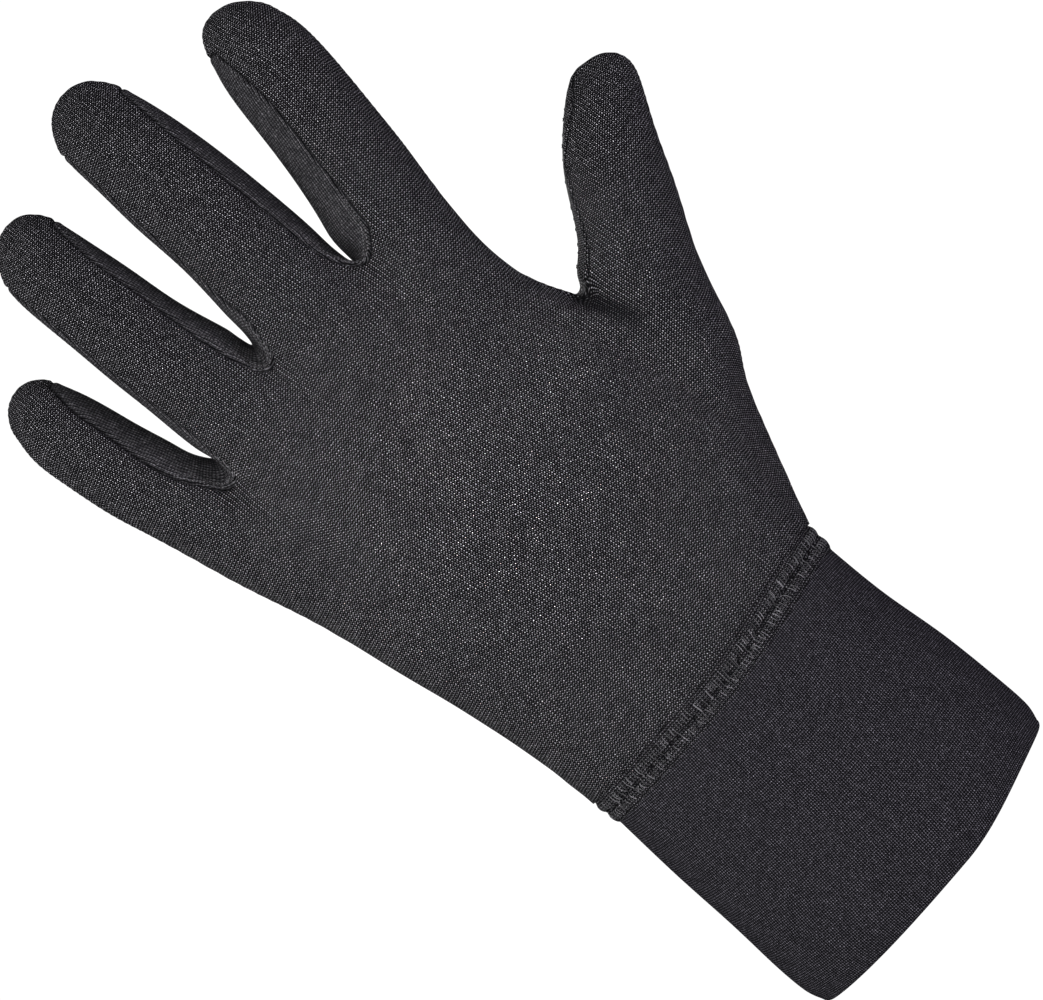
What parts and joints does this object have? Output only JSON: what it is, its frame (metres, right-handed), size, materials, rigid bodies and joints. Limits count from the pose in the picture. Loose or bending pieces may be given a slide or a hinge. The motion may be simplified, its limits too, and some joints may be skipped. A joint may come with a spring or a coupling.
{
  "type": "stretch-knit glove",
  "caption": "Left-hand stretch-knit dress glove, filled as when worn: a hollow cloth shell with strips between the fingers, a flat wrist seam and a folded knit cuff.",
  "frame": {"origin": "middle of the wrist opening, level with the lowest point of the hem", "axes": "+Z from the hem to the fingertips, +X to the thumb's side, -Y faces off the back of the hand and +Y off the palm"},
  "size_m": [0.1469, 0.0397, 0.2494],
  "materials": {
    "brushed_knit": "matt charcoal jersey with a short brushed nap",
    "cuff_knit": "matt charcoal knit, two layers",
    "seam_thread": "charcoal overlock thread with a low sheen"
  },
  "bodies": {
    "root": {"back_panel": "brushed_knit", "palm_panel": "brushed_knit", "strip_little_ring": "brushed_knit", "strip_ring_middle": "brushed_knit", "strip_middle_index": "brushed_knit", "cuff": "cuff_knit", "cuff_seam": "seam_thread"}
  },
  "joints": []
}
